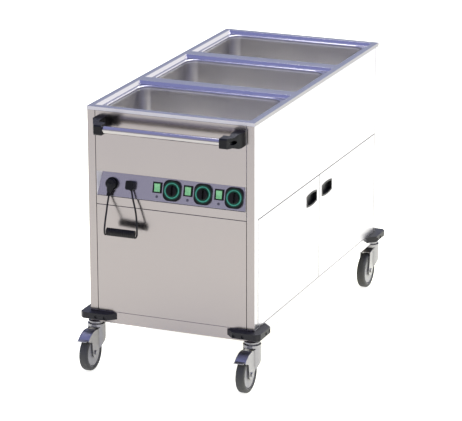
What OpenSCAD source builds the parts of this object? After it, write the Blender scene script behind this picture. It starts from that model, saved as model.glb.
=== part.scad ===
// Heated serving trolley with three gastronorm wells, a cupboard and a parked mains plug.
// Millimetres, +Z up, the operator's end (handle and controls) faces -Y, the doors face +X.

/* [Deck] */
// Width of the deck, side to side
deck_w = 590; // [580:5:640]
// Length of the deck, front to rear
deck_l = 1190; // [1180:10:1300]
// Height of the deck above the floor
work_h = 900; // [880:5:950]
// Height of the deck's turned-down edge
deck_edge_h = 12; // [10:1:16]
// Thickness of the stainless sheet
sheet = 1.5; // [1.2:0.1:2]

/* [Wells] */
// Deck left beside a recess
deck_side = 20; // [16:1:24]
// Deck left beyond the first and the last recess
deck_end = 23; // [18:1:30]
// Deck left between two recesses
recess_gap = 50; // [44:1:52]
// How far the sloping side of a recess runs in
slope_run = 8; // [6:1:10]
// How far the sloping side of a recess drops
slope_drop = 10; // [8:1:12]
// Flat ledge that carries the pan's flange
ledge_w = 7; // [6:1:10]
// Radius of the rolled rim of the well
rim_r = 5; // [4:0.5:6]
// Straight lip below the rolled rim
rim_lip = 7; // [5:1:10]
// Corner radius of the well, seen from above
well_corner_r = 40; // [30:1:50]
// Depth of the well below the ledge
well_depth = 200; // [160:5:202]
// Radius between the well's wall and floor
well_floor_r = 15; // [10:1:20]

/* [Cabinet] */
// How far the skins lie inside the deck's edge
skin_inset = 1; // [0.5:0.1:1.2]
// Width of a corner post on the short sides
post_front_w = 27; // [24:1:32]
// Width of a corner post on the long sides
post_side_w = 29; // [26:1:34]
// Seam between two skins
seam = 2; // [1.5:0.5:3]
// Drop of the seam between upper and lower skins below the fascia's lower edge
seam_drop = 32; // [28:1:40]
// Depth of the returned edges of a skin
return_d = 12; // [10:1:14]
// Width of the flange behind a seam
flange_w = 16; // [12:1:20]

/* [Base] */
// Underside of the base frame above the floor
base_z = 160; // [160:1:175]
// Height of the base frame
base_h = 40; // [36:1:42]
// Width of the frame's folded channel
channel_w = 30; // [28:1:40]
// Thickness of the folded channel
channel_t = 2; // [1.5:0.5:3]
// Number of cross members
cross_count = 2; // [1:1:4]

/* [Control recess] */
// Drop of the fascia's lower edge below the deck
fascia_drop = 298; // [296:1:310]
// Height of the opening in front of the fascia
fascia_rise = 82; // [78:1:84]
// Depth of the recess at its roof
fascia_depth = 22; // [15:1:35]
// How far each cheek closes in at the roof
cheek_flare = 12; // [0:1:16]

/* [Controls] */
// Gap between a knob's bezel and its switch
switch_gap = 6; // [4:0.5:8]
// Height of the knobs up the slope
knob_s = 40; // [38:1:44]
// Height of the switches up the slope
switch_s = 45; // [42:1:48]
// Width of a knob's bezel
bezel_w = 62; // [58:1:64]
// Height of a knob's bezel up the slope
bezel_h = 69; // [64:1:72]
// Corner radius of the bezel
bezel_r = 21; // [12:1:26]
// Thickness of the bezel
bezel_t = 5; // [3:0.5:6]
// Outer radius of the lit ring
glow_r = 25.5; // [24:0.5:27]
// Width of the lit ring
glow_w = 3; // [2:0.5:4]
// Radius of the knob
knob_r = 18; // [16:0.5:20]
// Thickness of the knob's disc
knob_h = 6; // [5:0.5:9]
// Height of the knob's grip above its disc
grip_h = 8; // [6:1:12]
// Switch frame width
switch_w = 32; // [30:1:36]
// Switch frame height up the slope
switch_h = 36; // [34:1:40]
// Rocker width
rocker_w = 20; // [18:1:22]
// Radius of the rocker's rounded ends about its pivot
rocker_r = 14.2; // [13:0.2:15]
// Tilt of the rocker either side of level
rocker_tilt = 8; // [6:1:10]

/* [Plug and cord] */
// Height of the parked plug up the slope
plug_s = 41; // [38:1:43]
// Radius of the plug's body
plug_r = 17.5; // [16:0.5:19]
// How far the plug stands out
plug_h = 22; // [20:1:26]
// Height of the cord gland up the slope
gland_s = 42; // [39:1:44]
// Width of the gland's block
gland_w = 28; // [26:1:32]
// Height of the gland's block up the slope
gland_h = 30; // [26:1:34]
// Diameter of the cord
cord_d = 6; // [6:0.1:6.1]
// Distance from curl to curl
curl_pitch = 6.55; // [6.5:0.01:6.6]

/* [Push handle] */
// Diameter of the push bar
bar_d = 24; // [22:1:26]
// Distance from the front skin to the bar's axis
bar_off = 67; // [62:1:72]
// Drop of the bar's axis below the deck
bar_drop = 55; // [50:1:60]
// Width of a bracket's head
head_w = 26; // [22:1:28]
// Distance from the cabinet's side to a bracket's outer edge
bracket_in = 33; // [30:1:40]
// How far a bracket's head lies inside its foot's outer edge
head_in = 29; // [24:1:34]
// Height of a bracket at the skin
bracket_h = 48; // [44:1:54]
// Height of a bracket's head
head_h = 34; // [32:1:38]

/* [Doors] */
// Gap round the doors
door_gap = 3; // [2.5:0.1:3.5]
// Thickness of a door
door_t = 20; // [18:1:22]
// Distance of the hinge pin from the door's face and edge
pin_in = 5; // [4.5:0.1:6]
// Radius of a hinge pin
pin_r = 3; // [2.5:0.1:3.5]
// Width of a door pull
pull_w = 97; // [90:1:104]
// Height of a door pull at its ends
pull_end_h = 38; // [34:1:44]
// How far the pull's top and bottom bow out
pull_bow = 5; // [3:0.5:8]
// Distance from the pull to the door's free edge
pull_edge = 23; // [18:1:30]
// Distance from the pull's middle to the seam above the door
pull_drop = 66; // [56:1:80]
// Depth of the pull's cup
pull_d = 15; // [12:1:16]

/* [Bumpers] */
// How far a bumper stands out from the skin
bumper_d = 28; // [24:1:32]
// Height of a bumper
bumper_h = 21; // [18:1:26]
// Length of a bumper along each side
bumper_l = 97; // [90:1:110]
// Chamfer at a bumper's corner
bumper_c = 12; // [8:1:16]
// Height of a bumper's middle above the floor
bumper_z = 185.5; // [184:0.5:187]

/* [Casters] */
// Distance of the swivel axis inside the deck's edge
caster_inset = 15; // [14:0.5:18]
// Distance of the axle ahead of the swivel axis
caster_trail = 52; // [46:1:54]
// Wheel radius
wheel_r = 62.5; // [60:0.5:63]
// Tyre width
tyre_w = 30; // [26:1:32]
// Radius of the tyre's shoulders
tyre_shoulder = 8; // [6:1:9]
// Thickness of the tyre over the hub
tyre_t = 12.5; // [10:0.5:14]
// Thickness of the fork's legs
leg_t = 2.5; // [2:0.5:3]
// How far the pedal's lip reaches ahead of the swivel axis
pedal_reach = 120; // [118:1:124]

/* [Hidden] */

// Fineness of round surfaces
$fn = 48;
// Overrun of every cut
over = 1;
// Clearance round a running pin
run_fit = 0.05;
// Clearance where one piece is laid against another
lay_fit = 0.3;

// Colours of the finishes
steel_col = [0.78, 0.76, 0.75];
side_col = [0.95, 0.95, 0.94];
fascia_col = [0.56, 0.57, 0.64];
black_col = [0.13, 0.13, 0.14];
green_col = [0.35, 0.72, 0.62];
lens_col = [0.60, 0.82, 0.62];
hub_col = [0.78, 0.78, 0.77];
tyre_col = [0.28, 0.28, 0.27];
zinc_col = [0.72, 0.72, 0.76];

// Body of the cabinet
body_w = deck_w - 2 * skin_inset;
body_l = deck_l - 2 * skin_inset;
base_top = base_z + base_h;
skin_top = work_h - deck_edge_h;
fascia_z = work_h - fascia_drop;
seam_z = fascia_z - seam_drop;
skin_slack = 0.5;
front_w = body_w - 2 * (post_front_w + seam);
side_l = body_l - 2 * (post_side_w + seam);
lower_z = base_top + seam / 2;
upper_z = seam_z + seam / 2;
lower_h = seam_z - seam / 2 - lower_z;
upper_h = skin_top - skin_slack - upper_z;

// Wells
well_names = ["well_front", "well_middle", "well_rear"];
recess_w = deck_w - 2 * deck_side;
recess_l = (deck_l - 2 * deck_end - (len(well_names) - 1) * recess_gap) / len(well_names);
well_pitch = recess_l + recess_gap;
ledge_out_w = recess_w - 2 * slope_run;
ledge_out_l = recess_l - 2 * slope_run;
well_w = ledge_out_w - 2 * (ledge_w + rim_r);
well_l = ledge_out_l - 2 * (ledge_w + rim_r);
rim_bottom = work_h - slope_drop - rim_r - rim_lip;
well_floor = work_h - slope_drop - well_depth;
well_t = 1.2;
drain_share = [0.37, 0.29];
drain_hole_r = 21;
drain_flange_r = 27;
drain_flange_t = 2;
drain_wall = 3;
drain_h = 26;
drain_slots = 6;
drain_slot_r = 2.5;
drain_slot_share = 0.55;
heater_r = 4;
heater_runs = 4;
heater_gap = 2;
heater_share = 0.75;
heater_run_l = 2 * floor(well_w * heater_share / 2);
heater_pitch = 2 * floor((well_l * drain_share[1] - drain_hole_r - heater_r - heater_gap) / (heater_runs - 1));

// Fascia: leans back a little, local Y up the slope and local Z out of it
fascia_tilt = atan2(fascia_depth, fascia_rise);
fascia_len = sqrt(fascia_rise * fascia_rise + fascia_depth * fascia_depth);
roof_z = fascia_z + fascia_rise;
roof_back = 12;
roof_lip = 10;
n_controls = 3;
edge_fit = lay_fit + sheet * cheek_flare / fascia_depth;
low_w = front_w - 2 * (sheet + edge_fit);
ring_sink = 2;
shaft_r = 3;
shaft_up = 11;
knob_chamfer = 1;
grip_w = 9;
grip_top_w = 5;
pointer_w = 1.6;
pointer_d = 0.8;
knob_wall = 3;
therm_w = 36;
therm_h = 40;
therm_neck_r = 5;
frame_t = 2.5;
rocker_pivot_n = -1;
rocker_rise = 4;
rocker_root = 6;
rocker_gap = 0.4;
trunnion_r = 1.5;
trunnion_l = 2;
switch_wall = 1.5;
switch_depth = 24;
switch_in_w = rocker_w + 2 * rocker_gap;
switch_in_h = 2 * (rocker_r + rocker_gap);

// Plug, socket and gland
socket_flange_r = 21.5;
// Free width of the fascia, shared out left of the plug, of the gland, of the first switch and of each next
// one
group_w = switch_w + switch_gap + bezel_w;
free_w = low_w - 2 * socket_flange_r - gland_w - n_controls * group_w;
free_shares = [0.1878, 0.2049, 0.4162, 0.0585];
plug_x = -low_w / 2 + free_w * free_shares[0] + socket_flange_r;
gland_x = plug_x + socket_flange_r + free_w * free_shares[1] + gland_w / 2;
control_pitch = group_w + free_w * free_shares[3];
knob_x = gland_x + gland_w / 2 + free_w * free_shares[2] + group_w - bezel_w / 2;
switch_dx = -(bezel_w + switch_w) / 2 - switch_gap;
socket_flange_t = 5;
socket_cup_r = 17;
socket_cup_d = 22;
plug_gap = 0.3;
plug_chamfer = 3;
pin_pitch = 19;
plug_pin_r = 2.4;
plug_pin_l = 17;
neck_n = 13;
neck_l = 41;
neck_r = 12.5;
neck_mid_r = 9;
neck_end_r = 7;
neck_lean = 7;
relief_rings = 4;
relief_t = 1.5;
relief_depth = 0.8;
relief_l = 14;
gland_t = 16;
gland_r = 6;
gland_nut_r = 12;
gland_nut_t = 6;
gland_neck_r = 8;
spout_n = 10;
spout_x = 5;
spout_s = 32;
spout_l = 8;
spout_r = 6;
spout_end_r = 4.5;
spout_turn = 6;

// Cord: curls of a helix along X, its ends turned up to the two legs
curls = 15.5;
coil_x = -208;
coil_l = 103;
coil_y = -649.5;
coil_z = 497.3;
coil_swing = 9;
coil_sag = 3;
coil_r = 10.5;
coil_lead = (coil_l - curls * curl_pitch) / 2;
coil_stub = 8;
coil_rings = 8;
coil_sides = 6;
leg_sides = 8;
ease_share = 0.5;
// Routes from the plug and from the gland down to the coil
plug_route = [
    [-216, -604, 610], [-216, -606, 603], [-216, -611, 592], [-215, -621, 575], [-213, -630.5, 560],
    [-211.5, -640.5, 544.5], [-210, -649, 530], [-208.5, -656, 518], [-208, -659.5, 510],
        [-208, -660, 505.3]
];
gland_route = [
    [-139, -595, 633], [-136, -599, 625], [-132, -604, 615], [-127, -609, 602], [-122, -612, 587],
    [-116.5, -615, 569], [-112.5, -618, 551], [-109.5, -621.5, 535], [-107, -626, 520],
    [-105.5, -629, 509], [-105, -630, 502.3]
];

// Push handle
bar_wall = 1.5;
bar_in = 20;
bar_z = work_h - bar_drop;
bracket_out = body_w / 2 - bracket_in;
bar_free = 2 * (bracket_out - head_in - head_w);
head_back = 18;
head_front = 18;
arm_w = 32;
arm_flat = 28;
head_chamfer = 4;
neck_back = 40;
handle_screw_x = bracket_out - arm_w / 2;
screw_r = 3;
screw_head_r = 5.5;
cap_r = 5;
screw_head_h = 4;
screw_well_r = 7;
screw_wall = 8;

// Cupboard and doors
liner_t = 1.2;
liner_back = body_w / 2 - return_d - lay_fit;
liner_in = 24;
liner_end_gap = 16;
liner_end = body_l / 2 - channel_w - liner_end_gap;
liner_lip = 12;
liner_drop = 10;
liner_top = seam_z - liner_drop;
shelf_share = 0.486;
shelf_z = base_top + shelf_share * (liner_top - base_top);
shelf_t = 1.5;
shelf_edge = 16;
shelf_inset = 4;
shelf_front_gap = 14;
slot_count = 12;
slot_l = 200;
slot_w = 10;
slot_pitch = 80;
runner_w = 22;
runner_t = 2;
runner_inset = 6;
shelf_w = liner_back + body_w / 2 - liner_in - liner_t - shelf_inset - shelf_front_gap;
shelf_x = -liner_back + liner_t + shelf_inset;
door_l = side_l / 2 + seam - door_gap * 3 / 2;
door_h = seam_z - base_top - 2 * door_gap + seam;
door_z = base_top + door_gap - seam / 2;
door_edge_y = body_l / 2 - post_side_w - door_gap;
door_edge_lip = 14;
door_corner_r = 3;
hinge_block_l = 16;
hinge_block_w = 16;
hinge_block_h = 6;
hinge_pin_in = 9;
pin_head_r = 5;
pin_head_t = 1;
pull_wall = 2;
pull_rim = 3;
pull_proud = 1;
catch_l = 30;
catch_w = 12;
catch_h = 14;
catch_y = 24;

// Bumpers
bumper_screw_1 = 31;
bumper_screw_2 = 62;
bumper_screw_r = 5.5;
bumper_screw_d = 8;
bumper_screw_z = 8.5;

// Casters, swivel axis on the local Z axis and the wheel towards -Y
caster_y = deck_l / 2 - caster_inset;
caster_x = deck_w / 2 - caster_inset;
head_plate_r = 27;
head_plate_t = 4;
race_r = 24.5;
race_h = 8;
groove_w = 2;
groove_d = 2;
kingpin_r = 6;
kingpin_down = 26;
kingpin_up = 2;
nut_r = 10;
nut_t = 6;
gusset_w = 62;
gusset_t = 3;
crown_top = base_z - head_plate_t - race_h - lay_fit;
crown_r = 30;
crown_h = 6;
crown_wall = 2.5;
crown_rim_h = 3;
leg_in = 17;
leg_back = -20;
lobe_r = 19;
heel_y = 31;
heel_z = 118;
knee_y = -12;
knee_z = 82;
toe_y = -38;
toe_z = 48;
brow_y = -58;
brow_z = 132.5;
brow_rise = 7;
guard_r = 77;
guard_y = -106;
guard_z = 116;
notch_y = -77;
notch_z = 104.5;
axle_r = 4;
axle_nut_r = 8;
axle_nut_t = 4;
hub_face = 12;
hub_rim_w = 13;
hub_rim_t = 2.5;
hub_groove_w = 2.5;
hub_groove_d = 3;
hub_boss_r = 14;
pedal_r = 74;
pedal_t = 2;
wing_t = 1.5;
wing_gap = 0.4;
wing_in_r = 70;
pedal_from = -10;
pedal_to = 40;
lip_t = 2;
pivot_y = -52;
pivot_z = 129.5;
pivot_r = 2.5;
pivot_boss_r = 5;

// The frame stands at the middle of everything that reaches out in front and behind
front_reach = caster_y + pedal_reach;
rear_reach = body_l / 2 + bumper_d;
frame_y = (front_reach - rear_reach) / 2;

// A box with vertical round corners, its base on z = 0
module round_box(w, l, r, h) {
    translate([-w / 2 + r, -l / 2, 0]) cube([w - 2 * r, l, h]);
    translate([-w / 2, -l / 2 + r, 0]) cube([w, l - 2 * r, h]);
    for (x = [-1, 1])
        for (y = [-1, 1])
            translate([x * (w / 2 - r), y * (l / 2 - r), 0]) cylinder(r = r, h = h);
}

// A flat profile (x outwards from the wall, y up) carried round a rectangle with round corners
module ring(w, l, r) {
    for (mx = [0, 1])
        for (my = [0, 1])
            mirror([mx, 0, 0]) mirror([0, my, 0])
                translate([w / 2 - r, l / 2 - r, 0]) rotate_extrude(angle = 90) translate([r, 0])
                    children();
    for (mx = [0, 1])
        mirror([mx, 0, 0]) translate([w / 2, 0, 0])
            rotate([90, 0, 0]) linear_extrude(l - 2 * r, center = true) children();
    for (my = [0, 1])
        mirror([0, my, 0]) translate([0, l / 2, 0])
            rotate([90, 0, 90]) linear_extrude(w - 2 * r, center = true) children();
}

// A four-sided frustum, w0 by l0 below and w1 by l1 above
module frustum(w0, l0, w1, l1, h) {
    intersection() {
        rotate([90, 0, 0]) linear_extrude(max(l0, l1), center = true)
            polygon([[-w0 / 2, 0], [w0 / 2, 0], [w1 / 2, h], [-w1 / 2, h]]);
        rotate([90, 0, 90]) linear_extrude(max(w0, w1), center = true)
            polygon([[-l0 / 2, 0], [l0 / 2, 0], [l1 / 2, h], [-l1 / 2, h]]);
    }
}

// A folded skin: its face on y = 0 towards -Y, its edges returned towards +Y
module tray(w, h, d, t) {
    difference() {
        translate([-w / 2, 0, 0]) cube([w, d, h]);
        translate([-w / 2 + t, t, t]) cube([w - 2 * t, d, h - 2 * t]);
    }
}

// Puts a child on the fascia, local Y up the slope and local Z out of it
module on_fascia(x, s) {
    translate([0, -body_l / 2, fascia_z]) rotate([90 - fascia_tilt, 0, 0]) translate([x, s, 0]) children();
}

function control_x(i) = knob_x + i * control_pitch;
function well_y(i) = (i - 1) * well_pitch;

module base_frame() {
    color(steel_col) {
        difference() {
            translate([-body_w / 2, -body_l / 2, base_z]) cube([body_w, body_l, base_h]);
            translate([-body_w / 2 + channel_t, -body_l / 2 + channel_t, base_z + channel_t])
                cube([body_w - 2 * channel_t, body_l - 2 * channel_t, base_h - 2 * channel_t]);
            translate([-body_w / 2 + channel_w, -body_l / 2 + channel_w, base_z - over])
                cube([body_w - 2 * channel_w, body_l - 2 * channel_w, base_h + 2 * over]);
            for (x = [-1, 1])
                for (y = [-1, 1])
                    translate([x * caster_x, y * caster_y, base_z - over])
                        cylinder(r = kingpin_r + lay_fit, h = channel_t + 2 * over);
        }
        for (i = [1:cross_count])
            translate([-body_w / 2 + channel_t,
                -body_l / 2 + body_l * i / (cross_count + 1) - channel_w / 2,
                base_top - channel_t - channel_w])
                difference() {
                    cube([body_w - 2 * channel_t, channel_w, channel_w]);
                    translate([-over, channel_t, -over])
                        cube([body_w + 2 * over, channel_w - 2 * channel_t, channel_w - channel_t + over]);
                }
        for (x = [0, 1])
            for (y = [0, 1])
                mirror([x, 0, 0]) mirror([0, y, 0])
                    difference() {
                        translate([body_w / 2 - channel_t - gusset_w, body_l / 2 - channel_t - gusset_w,
                            base_z + channel_t])
                            cube([gusset_w, gusset_w, gusset_t]);
                        translate([caster_x, caster_y, base_z])
                            cylinder(r = kingpin_r + lay_fit, h = base_h);
                    }
    }
}

// One folded post with its outer corner on the origin, legs along +X and +Y
module post(z0, z1, side_flange_z) {
    translate([0, 0, z0]) linear_extrude(z1 - z0) {
        square([post_front_w, sheet]);
        square([sheet, post_side_w]);
        translate([post_front_w - sheet, 0]) square([sheet, return_d + sheet]);
        translate([0, post_side_w - sheet]) square([return_d + sheet, sheet]);
        translate([post_front_w - sheet, return_d]) square([sheet + flange_w, sheet]);
    }
    translate([return_d, post_side_w - sheet, side_flange_z])
        cube([sheet, sheet + flange_w, z1 - side_flange_z]);
}

// The flange behind the front seam stops above and below the control recess
module corner_posts() {
    notch_low = fascia_z - 2 * sheet - seam;
    notch_h = roof_z + sheet + seam - notch_low;
    color(steel_col)
        for (mx = [0, 1])
            for (my = [0, 1])
                mirror([mx, 0, 0]) mirror([0, my, 0])
                    translate([-body_w / 2, -body_l / 2, 0]) difference() {
                        post(base_top, skin_top, mx == 1 ? upper_z : base_top);
                        if (my == 0)
                            translate([post_front_w, return_d - over, notch_low])
                                cube([flange_w + over, sheet + 2 * over, notch_h]);
                    }
}

module top_deck() {
    over_run = slope_run / slope_drop * over;
    color(steel_col) {
        difference() {
            union() {
                difference() {
                    translate([-deck_w / 2, -deck_l / 2, skin_top]) cube([deck_w, deck_l, deck_edge_h]);
                    translate([-deck_w / 2 + sheet, -deck_l / 2 + sheet, skin_top - over])
                        cube([deck_w - 2 * sheet, deck_l - 2 * sheet, deck_edge_h + over - sheet]);
                }
                for (i = [0:2])
                    translate([0, well_y(i), work_h - slope_drop - sheet])
                        frustum(ledge_out_w + 2 * sheet, ledge_out_l + 2 * sheet,
                            recess_w + 2 * sheet, recess_l + 2 * sheet, slope_drop + sheet / 2);
            }
            for (i = [0:2])
                translate([0, well_y(i), 0]) {
                    translate([0, 0, work_h - slope_drop])
                        frustum(ledge_out_w, ledge_out_l, recess_w + 2 * over_run, recess_l + 2 * over_run,
                            slope_drop + over);
                    translate([0, 0, work_h - slope_drop - sheet - over])
                        round_box(well_w + 2 * rim_r, well_l + 2 * rim_r, well_corner_r + rim_r,
                            sheet + 2 * over);
                }
        }
        for (i = [0:2])
            translate([0, well_y(i), work_h - slope_drop - rim_r])
                ring(well_w, well_l, well_corner_r) {
                    difference() {
                        translate([rim_r, 0]) circle(r = rim_r);
                        translate([rim_r, 0]) circle(r = rim_r - sheet);
                        translate([-over, -rim_r - over]) square([2 * (rim_r + over), rim_r + over]);
                        translate([rim_r, -over]) square([rim_r + over, rim_r + 2 * over]);
                    }
                    translate([0, -rim_lip]) square([sheet, rim_lip]);
                }
    }
}

module well(i) {
    wall_z = well_floor + well_floor_r;
    color(steel_col)
        translate([0, well_y(i), 0]) difference() {
            union() {
                ring(well_w, well_l, well_corner_r) {
                    translate([0, wall_z]) square([well_t, rim_bottom - wall_z]);
                    translate([-well_floor_r, wall_z]) difference() {
                        circle(r = well_floor_r + well_t);
                        circle(r = well_floor_r);
                        translate([-2 * well_floor_r, 0]) square(4 * well_floor_r);
                        translate([-4 * well_floor_r, -2 * well_floor_r]) square(4 * well_floor_r);
                    }
                }
                translate([0, 0, well_floor - well_t])
                    round_box(well_w - 2 * well_floor_r, well_l - 2 * well_floor_r,
                        well_corner_r - well_floor_r, well_t);
            }
            translate([well_w * drain_share[0], well_l * drain_share[1], well_floor - well_t - over])
                cylinder(r = drain_hole_r, h = well_t + 2 * over);
        }
}

module well_drains() {
    color(zinc_col)
        for (i = [0:2])
            translate([well_w * drain_share[0], well_y(i) + well_l * drain_share[1], well_floor])
                difference() {
                    union() {
                        cylinder(r = drain_flange_r, h = drain_flange_t);
                        translate([0, 0, -drain_h]) cylinder(r = drain_hole_r - lay_fit, h = drain_h);
                    }
                    translate([0, 0, -drain_h + drain_wall])
                        cylinder(r = drain_hole_r - drain_wall, h = drain_h - drain_wall);
                    for (a = [1:drain_slots])
                        rotate([0, 0, a * 360 / drain_slots])
                            translate([(drain_hole_r - drain_wall) * drain_slot_share, 0, -over])
                                cylinder(r = drain_slot_r, h = drain_flange_t + 2 * over);
                }
}

// A tubular element bent to and fro under each well's floor
module well_heaters() {
    color(zinc_col)
        for (i = [0:2])
            translate([0, well_y(i), well_floor - well_t - lay_fit - heater_r]) {
                for (k = [0:heater_runs - 1])
                    translate([-heater_run_l / 2, (k - (heater_runs - 1) / 2) * heater_pitch, 0])
                        rotate([0, 90, 0]) cylinder(r = heater_r, h = heater_run_l);
                for (k = [0:heater_runs - 2])
                    translate([(k % 2 == 0 ? 1 : -1) * heater_run_l / 2,
                        (k + 1 - heater_runs / 2) * heater_pitch, 0])
                        rotate([0, 0, k % 2 == 0 ? -90 : 90])
                            rotate_extrude(angle = 180) translate([heater_pitch / 2, 0])
                                circle(r = heater_r);
            }
}

// Region behind a slanting cheek, seen from above: w is the opening's width on the front plane
module cheek_plan(w) {
    back = fascia_depth + roof_back;
    run = cheek_flare * back / fascia_depth;
    polygon([[-w / 2, 0], [w / 2, 0], [w / 2 - run, back], [-w / 2 + run, back]]);
}

// Upper front skin, the control recess with its roof and flared cheeks, and the strip below it
module front_panel() {
    strip_h = fascia_z - sheet - upper_z;
    back = fascia_depth + roof_back;
    color(steel_col) translate([0, -body_l / 2, 0]) {
        translate([0, 0, roof_z]) tray(front_w, upper_z + upper_h - roof_z, return_d, sheet);
        translate([-front_w / 2, 0, roof_z]) cube([front_w, back, sheet]);
        translate([-front_w / 2, back - sheet, roof_z - roof_lip]) cube([front_w, sheet, roof_lip + sheet]);
        translate([0, 0, upper_z]) tray(front_w, strip_h, return_d, sheet);
        intersection() {
            translate([0, 0, fascia_z - 2 * sheet]) linear_extrude(fascia_rise + 3 * sheet) difference() {
                cheek_plan(front_w);
                cheek_plan(front_w - 2 * sheet);
                translate([-front_w / 4, -over]) square([front_w / 2, back + 2 * over]);
            }
            rotate([90, 0, 90]) linear_extrude(front_w, center = true)
                polygon([[0, fascia_z - 2 * sheet], [0, roof_z + sheet], [back, roof_z + sheet],
                    [back, roof_z - roof_lip], [return_d, fascia_z - 2 * sheet]]);
        }
    }
}

module control_panel() {
    top_w = low_w - 2 * cheek_flare;
    color(fascia_col) difference() {
        on_fascia(0, 0) translate([0, 0, -sheet]) linear_extrude(sheet)
            polygon([[-low_w / 2, lay_fit], [low_w / 2, lay_fit], [top_w / 2, fascia_len - 2 * lay_fit],
                [-top_w / 2, fascia_len - 2 * lay_fit]]);
        for (i = [0:n_controls - 1]) {
            on_fascia(control_x(i), knob_s) translate([0, 0, -sheet - over])
                cylinder(r = therm_neck_r + lay_fit, h = sheet + 2 * over);
            on_fascia(control_x(i) + switch_dx, switch_s) translate([0, 0, -sheet / 2])
                cube([switch_in_w + 2 * (switch_wall + lay_fit), switch_in_h + 2 * (switch_wall + lay_fit),
                    sheet + 2 * over], center = true);
        }
        on_fascia(plug_x, plug_s) translate([0, 0, -sheet - over])
            cylinder(r = socket_cup_r + lay_fit, h = sheet + 2 * over);
        on_fascia(gland_x, gland_s) translate([0, 0, -sheet - over])
            cylinder(r = gland_neck_r + lay_fit, h = sheet + 2 * over);
    }
}

module service_cover() {
    color(steel_col) translate([0, -body_l / 2, lower_z]) tray(front_w, lower_h, return_d, sheet);
}

// A side skin between the corner posts; side is -1 on the left and 1 on the right
module side_skin(side, z, h) {
    translate([side * body_w / 2, 0, z]) rotate([0, 0, side * 90]) tray(side_l, h, return_d, sheet);
}

module left_upper_panel() {
    color(side_col) side_skin(-1, upper_z, upper_h);
}

module left_lower_panel() {
    color(side_col) side_skin(-1, lower_z, lower_h);
}

module right_upper_panel() {
    color(side_col) side_skin(1, upper_z, upper_h);
}

module rear_panels() {
    color(steel_col) translate([0, body_l / 2, 0]) rotate([0, 0, 180]) {
        translate([0, 0, upper_z]) tray(front_w, upper_h, return_d, sheet);
        translate([0, 0, lower_z]) tray(front_w, lower_h, return_d, sheet);
    }
}

// Open box behind the doors, on the base frame, with a lip round its mouth
module cupboard_liner() {
    mouth_x = body_w / 2 - liner_in;
    color(steel_col) {
        difference() {
            translate([-liner_back, -liner_end, base_top])
                cube([liner_back + mouth_x, 2 * liner_end, liner_top - base_top]);
            translate([-liner_back + liner_t, -liner_end + liner_t, base_top + liner_t])
                cube([liner_back + mouth_x, 2 * (liner_end - liner_t), liner_top - base_top - 2 * liner_t]);
        }
        difference() {
            translate([mouth_x - liner_t, -liner_end, base_top])
                cube([liner_t, 2 * liner_end, liner_top + liner_lip / 2 - base_top]);
            translate([mouth_x - liner_t - over, -liner_end + liner_lip, base_top + liner_lip])
                cube([liner_t + 2 * over, 2 * (liner_end - liner_lip),
                    liner_top - base_top - 2 * liner_lip]);
        }
    }
}

module cupboard_shelf() {
    shelf_l = 2 * (liner_end - liner_t - shelf_inset);
    color(steel_col) translate([shelf_x, -shelf_l / 2, shelf_z - shelf_edge]) difference() {
        cube([shelf_w, shelf_l, shelf_edge]);
        translate([shelf_t, -over, -over])
            cube([shelf_w - 2 * shelf_t, shelf_l + 2 * over, shelf_edge - shelf_t + over]);
        for (k = [0:slot_count - 1])
            for (m = [0, 1])
                translate([shelf_w * (1 + 2 * m) / 4 - slot_l / 2,
                    shelf_l / 2 + (k - (slot_count - 1) / 2) * slot_pitch - slot_w / 2, 0])
                    cube([slot_l, slot_w, shelf_edge + over]);
    }
}

module shelf_runners() {
    run_l = shelf_w - 2 * runner_inset;
    color(steel_col) for (my = [0, 1])
        mirror([0, my, 0]) translate([shelf_x + runner_inset, -liner_end + liner_t, 0]) {
            translate([0, 0, shelf_z - shelf_t - runner_t]) cube([run_l, runner_w, runner_t]);
            translate([0, 0, shelf_z - shelf_t - runner_w]) cube([run_l, runner_t, runner_w]);
        }
}

module push_bar() {
    half = bar_free / 2 + bar_in;
    color(zinc_col) translate([-half, -body_l / 2 - bar_off, bar_z]) rotate([0, 90, 0]) difference() {
        cylinder(r = bar_d / 2, h = 2 * half);
        translate([0, 0, -over]) cylinder(r = bar_d / 2 - bar_wall, h = 2 * (half + over));
    }
}

// Moulded bracket on the +X side: an arm out from the skin and a head round the bar's end
module handle_bracket() {
    head_x = bar_free / 2;
    front = bar_off + head_front;
    back = bar_off - head_back;
    color(black_col) translate([0, -body_l / 2, bar_z]) difference() {
        intersection() {
            translate([0, 0, -bracket_h / 2]) linear_extrude(bracket_h)
                polygon([[bracket_out - arm_w, 0], [bracket_out, 0], [bracket_out, -arm_flat],
                    [head_x + head_w, -front], [head_x, -front], [head_x, -back],
                        [bracket_out - arm_w, -back]]);
            translate([head_x - over, 0, 0]) rotate([90, 0, 90])
                linear_extrude(bracket_out - head_x + 2 * over)
                polygon([[0, -bracket_h / 2], [-neck_back, -bracket_h / 2],
                    [-back - head_chamfer, -head_h / 2],
                    [-front + head_chamfer, -head_h / 2], [-front, -head_h / 2 + head_chamfer],
                    [-front, head_h / 2 - head_chamfer], [-front + head_chamfer, head_h / 2],
                    [-back - head_chamfer, head_h / 2], [-neck_back, bracket_h / 2], [0, bracket_h / 2]]);
        }
        translate([head_x - over, -bar_off, 0]) rotate([0, 90, 0])
            cylinder(r = bar_d / 2 + run_fit, h = bar_in + lay_fit + over);
        translate([handle_screw_x, -screw_wall, 0]) rotate([90, 0, 0])
            cylinder(r = screw_well_r, h = front);
        translate([handle_screw_x, over, 0]) rotate([90, 0, 0])
            cylinder(r = screw_r + lay_fit, h = screw_wall + 2 * over);
    }
}

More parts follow.
